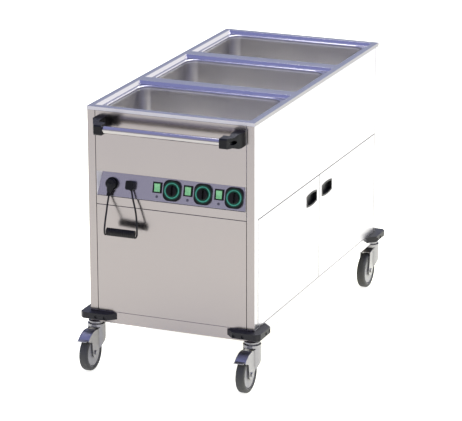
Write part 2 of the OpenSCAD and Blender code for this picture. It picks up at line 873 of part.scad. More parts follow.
module knob_bezels() {
    color(black_col) for (i = [0:n_controls - 1])
        on_fascia(control_x(i), knob_s) difference() {
            round_box(bezel_w, bezel_h, bezel_r, bezel_t);
            translate([0, 0, bezel_t - ring_sink]) difference() {
                cylinder(r = glow_r, h = ring_sink + over);
                translate([0, 0, -over]) cylinder(r = glow_r - glow_w, h = ring_sink + 3 * over);
            }
            translate([0, 0, -over]) cylinder(r = therm_neck_r + lay_fit, h = bezel_t + 2 * over);
        }
}

module glow_rings() {
    color(green_col) for (i = [0:n_controls - 1])
        on_fascia(control_x(i), knob_s) translate([0, 0, bezel_t - ring_sink]) difference() {
            cylinder(r = glow_r - run_fit, h = ring_sink + lay_fit);
            translate([0, 0, -over]) cylinder(r = glow_r - glow_w + run_fit, h = ring_sink + 3 * over);
        }
}

module thermostats() {
    color(zinc_col) for (i = [0:n_controls - 1])
        on_fascia(control_x(i), knob_s) {
            translate([-therm_w / 2, -therm_w / 2, -sheet - lay_fit - therm_h])
                cube([therm_w, therm_w, therm_h]);
            translate([0, 0, -sheet - lay_fit - over]) cylinder(r = therm_neck_r, h = bezel_t + over);
            translate([0, 0, -sheet]) cylinder(r = shaft_r, h = sheet + bezel_t + shaft_up - knob_wall);
        }
}

// Disc with a raised grip across it, a pointer line cut into the grip
module knob(i) {
    grip_l = 2 * (knob_r - knob_chamfer);
    color(black_col) on_fascia(control_x(i), knob_s) translate([0, 0, bezel_t + lay_fit]) difference() {
        union() {
            rotate_extrude()
                polygon([[0, 0], [knob_r, 0], [knob_r, knob_h - knob_chamfer],
                    [knob_r - knob_chamfer, knob_h], [0, knob_h]]);
            intersection() {
                cylinder(r = knob_r - knob_chamfer, h = knob_h + grip_h);
                rotate([90, 0, 0]) linear_extrude(grip_l, center = true)
                    polygon([[-grip_w / 2, 0], [grip_w / 2, 0], [grip_w / 2, knob_h],
                        [grip_top_w / 2, knob_h + grip_h], [-grip_top_w / 2, knob_h + grip_h],
                            [-grip_w / 2, knob_h]]);
            }
        }
        translate([0, 0, -over]) cylinder(r = shaft_r + run_fit, h = shaft_up - knob_wall + over);
        translate([-pointer_w / 2, 0, knob_h + grip_h - pointer_d])
            cube([pointer_w, knob_r, pointer_d + over]);
    }
}

module switch_frames() {
    color(black_col) for (i = [0:n_controls - 1])
        on_fascia(control_x(i) + switch_dx, switch_s) difference() {
            union() {
                translate([-switch_w / 2, -switch_h / 2, 0]) cube([switch_w, switch_h, frame_t]);
                translate([-switch_in_w / 2 - switch_wall, -switch_in_h / 2 - switch_wall, -switch_depth])
                    cube([switch_in_w + 2 * switch_wall, switch_in_h + 2 * switch_wall, switch_depth]);
            }
            translate([-switch_in_w / 2, -switch_in_h / 2, -switch_depth + switch_wall])
                cube([switch_in_w, switch_in_h, switch_depth + frame_t]);
            translate([-rocker_w / 2 - trunnion_l, 0, rocker_pivot_n]) rotate([0, 90, 0])
                cylinder(r = trunnion_r + run_fit, h = rocker_w + 2 * trunnion_l);
        }
}

// Rocker pressed at its lower end: ends round about the pivot, a shallow V across its face
module rocker(i) {
    far = rocker_r + over;
    color(lens_col) on_fascia(control_x(i) + switch_dx, switch_s) translate([0, 0, rocker_pivot_n])
        rotate([rocker_tilt, 0, 0]) {
            intersection() {
                rotate([0, 90, 0]) cylinder(r = rocker_r, h = rocker_w, center = true);
                rotate([90, 0, 90]) linear_extrude(rocker_w + 2 * over, center = true)
                    polygon([[-far, -rocker_root], [far, -rocker_root],
                        [far, rocker_rise + far * tan(rocker_tilt)],
                        [0, rocker_rise], [-far, rocker_rise + far * tan(rocker_tilt)]]);
            }
            rotate([0, 90, 0])
                cylinder(r = trunnion_r, h = rocker_w + 2 * (trunnion_l - lay_fit), center = true);
        }
}

module parking_socket() {
    color(black_col) on_fascia(plug_x, plug_s) difference() {
        union() {
            cylinder(r = socket_flange_r, h = socket_flange_t);
            translate([0, 0, -socket_cup_d]) cylinder(r = socket_cup_r, h = socket_cup_d);
        }
        for (x = [-1, 1])
            translate([x * pin_pitch / 2, 0, socket_flange_t + plug_gap - plug_pin_l - over])
                cylinder(r = plug_pin_r + run_fit, h = plug_pin_l + 2 * over);
    }
}

// Tapered neck, then a grooved sleeve that eases the cord's bend: radius against distance along it
neck_profile = concat(
    [[0, 0], [neck_r, 0], [neck_mid_r, neck_l - relief_l], [neck_end_r, neck_l - relief_l]],
    [for (k = [relief_rings:-1:1])
        let (t = neck_l - 2 * k * relief_t)
            each [[neck_end_r, t], [neck_end_r - relief_depth, t],
                [neck_end_r - relief_depth, t + relief_t],
                [neck_end_r, t + relief_t]]],
    [[neck_end_r, neck_l], [0, neck_l]]
);

// Angled plug: round body on the socket, a flat-sided neck leaning down the slope, relief rings, two pins
module plug() {
    color(black_col) on_fascia(plug_x, plug_s) {
        translate([0, 0, socket_flange_t + plug_gap]) rotate_extrude()
            polygon([[0, 0], [plug_r, 0], [plug_r, plug_h - socket_flange_t - plug_gap - plug_chamfer],
                [plug_r - plug_chamfer, plug_h - socket_flange_t - plug_gap],
                    [0, plug_h - socket_flange_t - plug_gap]]);
        rotate([0, 0, -neck_lean]) translate([0, 0, neck_n]) intersection() {
            rotate([90, 0, 0]) rotate_extrude() polygon(neck_profile);
            translate([-neck_r - over, -neck_l - over, socket_flange_t + plug_gap + lay_fit - neck_n])
                cube([2 * (neck_r + over), neck_l + over, 2 * neck_r]);
        }
        for (x = [-1, 1])
            translate([x * pin_pitch / 2, 0, socket_flange_t + plug_gap - plug_pin_l])
                cylinder(r = plug_pin_r, h = plug_pin_l + over);
    }
}

module cord_gland() {
    color(black_col) on_fascia(gland_x, gland_s) {
        round_box(gland_w, gland_h, gland_r, gland_t);
        translate([0, 0, -sheet - gland_nut_t]) cylinder(r = gland_neck_r, h = sheet + gland_nut_t);
        translate([0, 0, -sheet - lay_fit - gland_nut_t]) cylinder(r = gland_nut_r, h = gland_nut_t);
        translate([spout_x, spout_s - gland_s, spout_n]) rotate([90, 0, spout_turn])
            cylinder(r1 = spout_r, r2 = spout_end_r, h = spout_l);
    }
}

// A round tube of the given sides with a ring at each point, its ends square to the first and last run
function along(p, i) = let (a = p[max(i - 1, 0)], b = p[min(i + 1, len(p) - 1)]) (b - a) / norm(b - a);
function tube_points(p, r, n) = [
    for (i = [0:len(p) - 1])
        let (t = along(p, i), c = cross(t, [1, 0, 0]), u = c / norm(c), v = cross(t, u))
            for (k = [0:n - 1]) p[i] + r * (cos(360 * k / n) * u + sin(360 * k / n) * v)
];
function tube_faces(m, n) = concat(
    [for (k = [1:n - 2]) [0, k, k + 1]],
    [for (k = [1:n - 2]) [(m - 1) * n, (m - 1) * n + k + 1, (m - 1) * n + k]],
    [for (i = [0:m - 2], k = [0:n - 1]) [i * n + k, (i + 1) * n + (k + 1) % n, i * n + (k + 1) % n]],
    [for (i = [0:m - 2], k = [0:n - 1]) [i * n + k, (i + 1) * n + k, (i + 1) * n + (k + 1) % n]]
);
module tube(p, r, n) {
    polyhedron(points = tube_points(p, r, n), faces = tube_faces(len(p), n), convexity = 10);
}

// Way along X after t curls: level at each end, steady between
function ease(u) = u <= 0 ? 0 : u >= 1 ? 1 : u * u * (3 - 2 * u);
function curl_x(t) = (t * curl_pitch + coil_lead) * ease(t / ease_share);
function coil_way(t) = t <= curls / 2 ? curl_x(t) : coil_l - curl_x(curls - t);
function curl_point(t) = let (w = coil_way(t), share = w / coil_l) [
    coil_x + w,
    coil_y + coil_swing * share - coil_r * cos(360 * t),
    coil_z - coil_sag * share - coil_r * sin(360 * t)
];
coil_steps = curls * coil_rings;
coil_path = concat(
    [[coil_x, coil_y - coil_r, coil_z + coil_stub]],
    [for (i = [0:coil_steps]) curl_point(i / coil_rings)],
    [[coil_x + coil_l, coil_y + coil_swing + coil_r, coil_z - coil_sag + coil_stub]]
);

// Least gap between the coil's own turns, measured on points three quarters of a turn or more apart
coil_gap = min([
    for (i = [0:len(coil_path) - 1])
        for (j = [i + 6:1:min(i + 10, len(coil_path) - 1)]) norm(coil_path[i] - coil_path[j])
]) - cord_d;
echo(coil_gap = coil_gap);

module cord_coil() {
    color(black_col) tube(coil_path, cord_d / 2, coil_sides);
}

module cord_to_plug() {
    color(black_col) tube(plug_route, cord_d / 2, leg_sides);
}

module cord_from_gland() {
    color(black_col) tube(gland_route, cord_d / 2, leg_sides);
}

// One L-shaped bumper round the +X +Y corner, its ends and corner chamfered
module bumper() {
    reach = body_w / 2 + bumper_d;
    reach_y = body_l / 2 + bumper_d;
    in_x = body_w / 2 + skin_inset - bumper_l;
    in_y = body_l / 2 + skin_inset - bumper_l;
    translate([0, 0, bumper_z - bumper_h / 2]) difference() {
        linear_extrude(bumper_h)
            polygon([[in_x, body_l / 2], [body_w / 2, body_l / 2], [body_w / 2, in_y],
                [reach, in_y + bumper_d], [reach, reach_y - bumper_c], [reach - bumper_c, reach_y],
                [in_x + bumper_d, reach_y]]);
        for (d = [bumper_screw_1, bumper_screw_2]) {
            translate([body_w / 2 - d, reach_y + over, bumper_screw_z]) rotate([90, 0, 0])
                cylinder(r = bumper_screw_r, h = bumper_screw_d + over);
            translate([reach + over, body_l / 2 - d, bumper_screw_z]) rotate([0, -90, 0])
                cylinder(r = bumper_screw_r, h = bumper_screw_d + over);
        }
    }
}

module corner_bumpers() {
    color(black_col) for (mx = [0, 1])
        for (my = [0, 1])
            mirror([mx, 0, 0]) mirror([0, my, 0]) bumper();
}

// Cap screw with its head's seat on the origin, pointing inwards along -Z
module screw(l) {
    cylinder(r = screw_head_r, h = screw_head_h);
    translate([0, 0, -l]) cylinder(r = screw_r, h = l + over);
}

module fixing_screws() {
    screw_z = bumper_z - bumper_h / 2 + bumper_screw_z;
    reach = body_w / 2 + bumper_d;
    reach_y = body_l / 2 + bumper_d;
    color(zinc_col) {
        for (mx = [0, 1])
            for (my = [0, 1])
                mirror([mx, 0, 0]) mirror([0, my, 0])
                    for (d = [bumper_screw_1, bumper_screw_2]) {
                        translate([body_w / 2 - d, reach_y - bumper_screw_d, screw_z]) rotate([-90, 0, 0])
                            cylinder(r = cap_r, h = screw_head_h);
                        translate([reach - bumper_screw_d, body_l / 2 - d, screw_z]) rotate([0, 90, 0])
                            cylinder(r = cap_r, h = screw_head_h);
                    }
        for (mx = [0, 1])
            mirror([mx, 0, 0]) translate([handle_screw_x, -body_l / 2 - screw_wall, bar_z])
                rotate([90, 0, 0])
                screw(screw_wall);
    }
}

module door_catches() {
    color(black_col) for (y = [-1, 1])
        translate([body_w / 2 - liner_in, y * catch_y - catch_l / 2, liner_top - liner_lip - catch_h / 2])
            cube([liner_in - door_t - lay_fit, catch_l, catch_h]);
}

// Place of a door's pin: side -1 for the front door, 1 for the rear door
module at_pin(side) {
    translate([body_w / 2 - pin_in, side * (door_edge_y - pin_in), 0]) children();
}

module door_hinge_pins() {
    color(zinc_col) for (side = [-1, 1])
        at_pin(side) {
            translate([0, 0, base_top]) cylinder(r = pin_r, h = door_z - base_top + hinge_pin_in);
            translate([0, 0, base_top]) cylinder(r = pin_head_r, h = pin_head_t);
            translate([0, 0, door_z + door_h - hinge_pin_in])
                cylinder(r = pin_r, h = upper_z - door_z - door_h + hinge_pin_in);
            translate([0, 0, upper_z - pin_head_t]) cylinder(r = pin_head_r, h = pin_head_t);
        }
}

// Outline of a pull, its middle on the origin: upright ends, bowed top and bottom
module pull_outline(w, h_end, bow, t) {
    bow_r = (w * w / 4 + bow * bow) / (2 * bow);
    intersection() {
        translate([-w / 2, -h_end / 2 - bow, 0]) cube([w, h_end + 2 * bow, t]);
        translate([0, h_end / 2 + bow - bow_r, 0]) cylinder(r = bow_r, h = t, $fn = 180);
        translate([0, -h_end / 2 - bow + bow_r, 0]) cylinder(r = bow_r, h = t, $fn = 180);
    }
}

// Puts a child on the middle of a door's pull, local Z out of the door
module at_pull(side) {
    translate([body_w / 2, side * (door_edge_y - door_l + pull_edge + pull_w / 2),
        door_z + door_h - pull_drop + seam])
        rotate([90, 0, 90]) children();
}

module door(side) {
    door_mid = side * (door_edge_y - door_l / 2);
    color(side_col) difference() {
        union() {
            difference() {
                translate([body_w / 2 - door_t, door_mid - door_l / 2, door_z])
                    cube([door_t, door_l, door_h]);
                translate([body_w / 2 - door_t + sheet, door_mid - door_l / 2 + sheet, door_z + sheet])
                    cube([door_t - 2 * sheet, door_l - 2 * sheet, door_h - 2 * sheet]);
                translate([body_w / 2 - door_t - over, door_mid - door_l / 2 + door_edge_lip,
                    door_z + door_edge_lip])
                    cube([sheet + 2 * over, door_l - 2 * door_edge_lip, door_h - 2 * door_edge_lip]);
                // hinge edge: the inner fold stops short so that it clears the post as the door turns
                translate([body_w / 2 - door_t - over, side * door_edge_y - (side + 1) / 2 * 2 * pin_in,
                    door_z - over])
                    cube([door_t - 2 * pin_in + over, 2 * pin_in, door_h + 2 * over]);
            }
            for (z = [door_z + sheet / 2, door_z + door_h - sheet / 2 - hinge_block_h])
                translate([body_w / 2 - sheet / 2 - hinge_block_w / 2 - pin_in / 2,
                    side * (door_edge_y - sheet / 2 - hinge_block_l / 2) - hinge_block_l / 2, z])
                    cube([hinge_block_w / 2 + pin_in / 2, hinge_block_l, hinge_block_h]);
        }
        at_pin(side) translate([0, 0, door_z - over])
            cylinder(r = pin_r + run_fit, h = hinge_pin_in + lay_fit + over);
        at_pin(side) translate([0, 0, door_z + door_h - hinge_pin_in - lay_fit])
            cylinder(r = pin_r + run_fit, h = hinge_pin_in + lay_fit + over);
        at_pull(side) translate([0, 0, -sheet - over])
            pull_outline(pull_w - 2 * pull_rim, pull_end_h - 2 * pull_rim, pull_bow, sheet + 2 * over);
    }
}

// Shell pull: a thin rim on the skin and a cup behind it
module door_pull(side) {
    color(black_col) at_pull(side) difference() {
        union() {
            pull_outline(pull_w, pull_end_h, pull_bow, pull_proud);
            translate([0, 0, -pull_d])
                pull_outline(pull_w - 2 * (pull_rim + lay_fit), pull_end_h - 2 * (pull_rim + lay_fit),
                    pull_bow, pull_d);
        }
        translate([0, 0, -pull_d + pull_wall])
            pull_outline(pull_w - 2 * (pull_rim + lay_fit + pull_wall),
                pull_end_h - 2 * (pull_rim + lay_fit + pull_wall),
                pull_bow, pull_d);
    }
}

module caster_at(sx, sy) {
    translate([sx * caster_x, sy * caster_y, 0]) children();
}

// Fixed half of a caster: plate, grooved ball race and kingpin, bolted up through the frame's corner
module caster_heads() {
    race_z = base_z - head_plate_t - race_h;
    pin_low = base_z - kingpin_down;
    nut_seat = base_z + channel_t + gusset_t;
    color(zinc_col) for (sx = [-1, 1])
        for (sy = [-1, 1])
            caster_at(sx, sy) {
                difference() {
                    union() {
                        translate([0, 0, base_z - head_plate_t])
                            cylinder(r = head_plate_r, h = head_plate_t);
                        translate([0, 0, race_z]) cylinder(r = race_r, h = race_h);
                    }
                    translate([0, 0, race_z + (race_h + groove_w) / 2]) difference() {
                        cylinder(r = race_r + over, h = groove_w);
                        translate([0, 0, -over]) cylinder(r = race_r - groove_d, h = groove_w + 2 * over);
                    }
                }
                translate([0, 0, pin_low])
                    cylinder(r = kingpin_r, h = nut_seat + nut_t + kingpin_up - pin_low);
                translate([0, 0, nut_seat]) cylinder(r = nut_r, h = nut_t, $fn = 6);
                translate([0, 0, pin_low]) cylinder(r = nut_r, h = crown_top - crown_h - lay_fit - pin_low);
            }
}

// Side view of a fork, x towards +Y and y up: one outline for its legs and skirt, a guard where braked
module fork_outline(braked) {
    polygon([[brow_y, brow_z], [leg_back, brow_z + brow_rise], [leg_back, crown_top],
        [crown_r + over, crown_top],
        [heel_y, heel_z], [knee_y, knee_z], [toe_y, toe_z], [-caster_trail, wheel_r],
        [-caster_trail - lobe_r, wheel_r]]);
    translate([-caster_trail, wheel_r]) circle(r = lobe_r);
    if (braked)
        intersection() {
            translate([-caster_trail, wheel_r]) circle(r = guard_r);
            polygon([[leg_back, knee_z], [leg_back, crown_top], [guard_y - guard_r, crown_top],
                [guard_y - guard_r, guard_z + guard_r / 2], [guard_y, guard_z], [notch_y, notch_z],
                [-caster_trail - lobe_r, wheel_r], [-caster_trail, wheel_r]]);
        }
}

// Pressed fork: rimmed crown, round skirt behind, two legs, the axle bolt and nuts, a pedal pin where
// braked
module fork(sx, sy, braked) {
    color(zinc_col) caster_at(sx, sy) {
        difference() {
            union() {
                translate([0, 0, crown_top - crown_h]) cylinder(r = crown_r, h = crown_h + crown_rim_h);
                intersection() {
                    translate([0, 0, toe_z]) difference() {
                        cylinder(r = crown_r, h = crown_top - toe_z);
                        translate([0, 0, -over])
                            cylinder(r = crown_r - crown_wall, h = crown_top - toe_z + 2 * over);
                        translate([-leg_in, -2 * crown_r, -over])
                            cube([2 * leg_in, 2 * crown_r, crown_top]);
                    }
                    rotate([90, 0, 90]) linear_extrude(3 * crown_r, center = true) fork_outline(false);
                }
                for (x = [-leg_in - leg_t, leg_in])
                    translate([x, 0, 0]) intersection() {
                        rotate([90, 0, 90]) linear_extrude(leg_t) fork_outline(braked);
                        translate([-over, 2 * guard_y, 0])
                            cube([leg_t + 2 * over, leg_back - 2 * guard_y, crown_top]);
                    }
                if (!braked)
                    rotate([90, 0, 90]) linear_extrude(2 * leg_in + leg_t, center = true)
                        polygon([[brow_y, brow_z], [leg_back, brow_z + brow_rise],
                            [leg_back, brow_z + brow_rise - leg_t],
                            [brow_y, brow_z - leg_t]]);
            }
            translate([0, 0, crown_top]) cylinder(r = crown_r - crown_wall, h = crown_rim_h + over);
            translate([0, 0, crown_top - crown_h - over])
                cylinder(r = kingpin_r + run_fit, h = crown_h + 2 * over);
        }
        translate([0, -caster_trail, wheel_r]) rotate([0, 90, 0]) {
            cylinder(r = axle_r, h = 2 * (leg_in + leg_t + axle_nut_t), center = true);
            for (x = [-1, 1])
                translate([0, 0, x * (leg_in + leg_t + axle_nut_t / 2)])
                    cylinder(r = axle_nut_r, h = axle_nut_t, center = true, $fn = 6);
        }
        if (braked)
            translate([0, pivot_y, pivot_z]) rotate([0, 90, 0])
                cylinder(r = pivot_r, h = 2 * (leg_in + leg_t), center = true);
    }
}

// Moulded wheel centre with a ring groove in each face, its boss running on the axle bolt
module hub(sx, sy) {
    r_out = wheel_r - tyre_t - run_fit;
    color(hub_col) caster_at(sx, sy) translate([0, -caster_trail, wheel_r]) rotate([0, 90, 0])
        rotate_extrude()
        polygon([
            [axle_r + run_fit, -leg_in + lay_fit], [hub_boss_r, -leg_in + lay_fit], [hub_boss_r, -hub_face],
            [r_out - hub_rim_t - hub_groove_w, -hub_face],
                [r_out - hub_rim_t - hub_groove_w, -hub_face + hub_groove_d],
            [r_out - hub_rim_t, -hub_face + hub_groove_d], [r_out - hub_rim_t, -hub_rim_w],
                [r_out, -hub_rim_w],
            [r_out, hub_rim_w], [r_out - hub_rim_t, hub_rim_w],
                [r_out - hub_rim_t, hub_face - hub_groove_d],
            [r_out - hub_rim_t - hub_groove_w, hub_face - hub_groove_d],
                [r_out - hub_rim_t - hub_groove_w, hub_face],
            [hub_boss_r, hub_face], [hub_boss_r, leg_in - lay_fit], [axle_r + run_fit, leg_in - lay_fit]
        ]);
}

module tyre(sx, sy) {
    r_in = wheel_r - tyre_t;
    color(tyre_col) caster_at(sx, sy) translate([0, -caster_trail, wheel_r]) rotate([0, 90, 0])
        rotate_extrude() {
        translate([r_in, -tyre_w / 2]) square([tyre_t - tyre_shoulder, tyre_w]);
        translate([r_in, -tyre_w / 2 + tyre_shoulder]) square([tyre_t, tyre_w - 2 * tyre_shoulder]);
        intersection() {
            for (y = [-1, 1])
                translate([wheel_r - tyre_shoulder, y * (tyre_w / 2 - tyre_shoulder)])
                    circle(r = tyre_shoulder);
            translate([r_in, -tyre_w / 2]) square([tyre_t, tyre_w]);
        }
    }
}

// Part of a ring about the axle, angles from straight up towards the front, in the side view
module arc_sector(r0, r1, a0, a1) {
    far = 2 * r1;
    intersection() {
        difference() {
            circle(r = r1);
            circle(r = r0);
        }
        polygon([[0, 0], [-far * sin(a0), far * cos(a0)],
            [-far * sin((a0 + a1) / 2), far * cos((a0 + a1) / 2)],
            [-far * sin(a1), far * cos(a1)]]);
    }
}

// Pressed brake pedal between the legs: a curved tread over the wheel, wings to its pin, a lip for the toe
module brake_pedal(sx) {
    half = leg_in - wing_gap;
    lip_y = -caster_trail - pedal_r * sin(pedal_to);
    lip_z = wheel_r + (pedal_r + pedal_t) * cos(pedal_to);
    color(zinc_col) caster_at(sx, -1) difference() {
        union() {
            rotate([90, 0, 90]) linear_extrude(2 * half, center = true)
                translate([-caster_trail, wheel_r])
                    arc_sector(pedal_r, pedal_r + pedal_t, pedal_from, pedal_to);
            translate([-half, -pedal_reach, lip_z - lip_t]) cube([2 * half, pedal_reach + lip_y, lip_t]);
            for (x = [-half, half - wing_t])
                translate([x, 0, 0]) rotate([90, 0, 90]) linear_extrude(wing_t) {
                    translate([-caster_trail, wheel_r])
                        arc_sector(wing_in_r, pedal_r + pedal_t / 2, pedal_from, pedal_to);
                    translate([pivot_y, pivot_z]) circle(r = pivot_boss_r);
                }
        }
        translate([0, pivot_y, pivot_z]) rotate([0, 90, 0])
            cylinder(r = pivot_r + run_fit, h = 2 * (half + over), center = true);
    }
}

// Every piece stands in the frame set above
module stand() {
    translate([0, frame_y, 0]) children();
}

stand() base_frame();
stand() corner_posts();
stand() top_deck();
stand() well(0);  // well_front
stand() well(1);  // well_middle
stand() well(2);  // well_rear
stand() well_heaters();
stand() well_drains();
stand() front_panel();
stand() control_panel();
stand() service_cover();
stand() left_upper_panel();
stand() left_lower_panel();
stand() right_upper_panel();
stand() rear_panels();
stand() cupboard_liner();
stand() cupboard_shelf();
stand() shelf_runners();
stand() push_bar();
stand() mirror([1, 0, 0]) handle_bracket();  // handle_bracket_left
stand() handle_bracket();  // handle_bracket_right
stand() knob_bezels();
stand() glow_rings();
stand() switch_frames();
stand() thermostats();
stand() parking_socket();
stand() plug();
stand() cord_gland();
stand() cord_from_gland();
stand() cord_coil();
stand() cord_to_plug();
stand() corner_bumpers();
stand() fixing_screws();
stand() door_catches();
stand() door_hinge_pins();
stand() caster_heads();
stand() knob(0);  // knob_1
stand() knob(1);  // knob_2
stand() knob(2);  // knob_3
stand() rocker(0);  // rocker_1
stand() rocker(1);  // rocker_2
stand() rocker(2);  // rocker_3
stand() door(-1);  // door_front
stand() door(1);  // door_rear
stand() door_pull(-1);  // door_pull_front
stand() door_pull(1);  // door_pull_rear
stand() fork(-1, -1, true);  // fork_front_left
stand() hub(-1, -1);  // hub_front_left
stand() tyre(-1, -1);  // tyre_front_left
stand() fork(1, -1, true);  // fork_front_right
stand() hub(1, -1);  // hub_front_right
stand() tyre(1, -1);  // tyre_front_right
stand() fork(-1, 1, false);  // fork_rear_left
stand() hub(-1, 1);  // hub_rear_left
stand() tyre(-1, 1);  // tyre_rear_left
stand() fork(1, 1, false);  // fork_rear_right
stand() hub(1, 1);  // hub_rear_right
stand() tyre(1, 1);  // tyre_rear_right
stand() brake_pedal(-1);  // brake_pedals_left
stand() brake_pedal(1);  // brake_pedals_right
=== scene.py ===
import bpy
import numpy as np
from mathutils import Matrix, Vector


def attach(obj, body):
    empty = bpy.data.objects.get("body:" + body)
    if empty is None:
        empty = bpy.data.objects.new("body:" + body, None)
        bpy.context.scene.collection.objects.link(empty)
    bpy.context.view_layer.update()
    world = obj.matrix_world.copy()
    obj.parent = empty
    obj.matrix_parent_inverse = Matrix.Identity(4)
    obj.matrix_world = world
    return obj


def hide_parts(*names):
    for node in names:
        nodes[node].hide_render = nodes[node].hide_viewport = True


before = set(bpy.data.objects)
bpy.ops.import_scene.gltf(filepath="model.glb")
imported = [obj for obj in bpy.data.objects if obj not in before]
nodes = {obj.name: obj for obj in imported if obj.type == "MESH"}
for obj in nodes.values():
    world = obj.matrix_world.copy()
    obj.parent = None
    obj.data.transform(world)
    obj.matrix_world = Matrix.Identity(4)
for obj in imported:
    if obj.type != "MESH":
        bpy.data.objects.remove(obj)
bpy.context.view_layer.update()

# Viewpoint
# A long lens from ahead and to the right of the operator's end, a little above the deck.
# Its axes come from the trolley's own straight edges.
look_right = Vector((0.927207, 0.374549, 0.0))
look_up = Vector((-0.111997, 0.277251, 0.954248))
look_back = Vector((0.357413, -0.884785, 0.299018))
stand_point = (3.30367, -8.04115, 3.08965)
camera = bpy.data.objects.new("camera", bpy.data.cameras.new("camera"))
bpy.context.scene.collection.objects.link(camera)
camera.matrix_world = (
    Matrix.Translation(stand_point)
    @ Matrix((look_right, look_up, look_back)).transposed().to_4x4()
)
camera.data.sensor_width = 36.0
camera.data.lens = 205.025
camera.data.shift_x = -0.041976
camera.data.shift_y = 0.031430
camera.data.clip_end = 100.0
bpy.context.scene.camera = camera


# Mains lead
# One black PVC lead of 6 mm from the gland down to a curly stretch and up to the parked plug.
# The whole lead is in sight. It is extruded, and its middle is wound hot on a rod so that it
# springs back; the hot winding leaves the skin satin.


def add_node(tree, kind, inputs=None, **settings):
    """Adds one shader node. inputs maps a socket to a value or to the output that feeds it."""
    made = tree.nodes.new(kind)
    for key, value in settings.items():
        setattr(made, key, value)
    for key, value in (inputs or {}).items():
        if isinstance(value, bpy.types.NodeSocket):
            tree.links.new(value, made.inputs[key])
        else:
            made.inputs[key].default_value = value
    return made


def colour(code):
    """sRGB hex to linear RGBA: c/12.92 below 0.04045, else ((c + 0.055) / 1.055) ^ 2.4."""
    c = np.array([int(code[i : i + 2], 16) for i in (0, 2, 4)]) / 255
    linear = np.where(c <= 0.04045, c / 12.92, ((c + 0.055) / 1.055) ** 2.4)
    return (*linear.tolist(), 1.0)


def blank(name):
    """A material with an empty tree, its output and its Principled shader."""
    made = bpy.data.materials.new(name)
    made.use_nodes = True
    tree = made.node_tree
    tree.nodes.clear()
    shader = add_node(tree, "ShaderNodeBsdfPrincipled")
    add_node(tree, "ShaderNodeOutputMaterial", {"Surface": shader.outputs[0]})
    return made, tree, shader


def moulded(name, dark, light, rough, grain_mm, bump, edge_mm=0.6, gloss=0.3):
    """Moulded or extruded polymer: a spark-eroded grain in height, a faint cloud in colour and
    in roughness, and edges rounded by the tool's own radius."""
    cloud_mm, sheen_swing, grain_depth_m = 40, 0.05, 0.0002
    made, tree, shader = blank(name)
    where = add_node(tree, "ShaderNodeTexCoord").outputs["Object"]
    cloud = add_node(
        tree, "ShaderNodeTexNoise", {"Vector": where, "Scale": 1000 / cloud_mm, "Detail": 3.0}
    ).outputs[0]
    grain = add_node(
        tree, "ShaderNodeTexNoise", {"Vector": where, "Scale": 1000 / grain_mm, "Detail": 2.0}
    ).outputs[0]
    tone = add_node(tree, "ShaderNodeMix", {0: cloud}, data_type="RGBA")
    tone.inputs[6].default_value = colour(dark)
    tone.inputs[7].default_value = colour(light)
    tree.links.new(tone.outputs[2], shader.inputs["Base Color"])
    sheen = add_node(
        tree,
        "ShaderNodeMapRange",
        {0: cloud, "To Min": rough - sheen_swing, "To Max": rough + sheen_swing},
    ).outputs[0]
    tree.links.new(sheen, shader.inputs["Roughness"])
    edge = add_node(tree, "ShaderNodeBevel", {"Radius": edge_mm / 1000}, samples=4).outputs[0]
    relief = add_node(
        tree,
        "ShaderNodeBump",
        {"Strength": bump, "Distance": grain_depth_m, "Height": grain, "Normal": edge},
    ).outputs[0]
    tree.links.new(relief, shader.inputs["Normal"])
    shader.inputs["IOR"].default_value = 1.5
    shader.inputs["Specular IOR Level"].default_value = gloss
    return made


def smooth_grid(name, points, material, closed=False, caps=False):
    """A mesh on a grid of points of shape (m, n, 3). closed joins the last column to the first;
    caps closes the two end rows with one face each."""
    crease_angle = 35
    m, n = points.shape[:2]
    i, j = np.meshgrid(np.arange(m - 1), np.arange(n if closed else n - 1), indexing="ij")
    i2, j2 = i + 1, (j + 1) % n
    quads = np.stack([i * n + j, i * n + j2, i2 * n + j2, i2 * n + j], -1).reshape(-1, 4)
    faces = quads.tolist()
    if caps:
        faces += [list(range(n))[::-1], list(range((m - 1) * n, m * n))]
    mesh = bpy.data.meshes.new(name)
    mesh.from_pydata(points.reshape(-1, 3).tolist(), [], faces)
    mesh.polygons.foreach_set("use_smooth", np.ones(len(faces), bool))
    mesh.update()
    mesh.set_sharp_from_angle(angle=np.radians(crease_angle))
    mesh.materials.append(material)
    piece = bpy.data.objects.new(name, mesh)
    bpy.context.scene.collection.objects.link(piece)
    return piece


def frames_along(path):
    """Two unit vectors square to a path at each of its points, carried along without twist: each
    is the last one less its part along the path, made one unit long again."""
    way = np.gradient(path, axis=0)
    way /= np.linalg.norm(way, axis=1, keepdims=True)
    side = np.cross(way[0], [1.0, 0.0, 0.0])
    side /= np.linalg.norm(side)
    sides = [side]
    for step in way[1:]:
        side = side - step * (side @ step)
        side = side / np.linalg.norm(side)
        sides.append(side)
    sides = np.array(sides)
    return sides, np.cross(way, sides)


def through(points, per_span):
    """A smooth curve through given points, with per_span steps between two. Each span is
    the Catmull-Rom cubic of the two points at its ends and the two beyond them."""
    p = np.vstack([2 * points[0] - points[1], points, 2 * points[-1] - points[-2]])
    t = np.linspace(0, 1, per_span, endpoint=False)[None, :, None]
    a, b, c, d = (p[k : len(p) - 3 + k, None, :] for k in range(4))
    curve = 0.5 * (
        2 * b
        + (c - a) * t
        + (2 * a - 5 * b + 4 * c - d) * t**2
        + (3 * b - a - 3 * c + d) * t**3
    )
    return np.vstack([curve.reshape(-1, 3), points[-1:]])


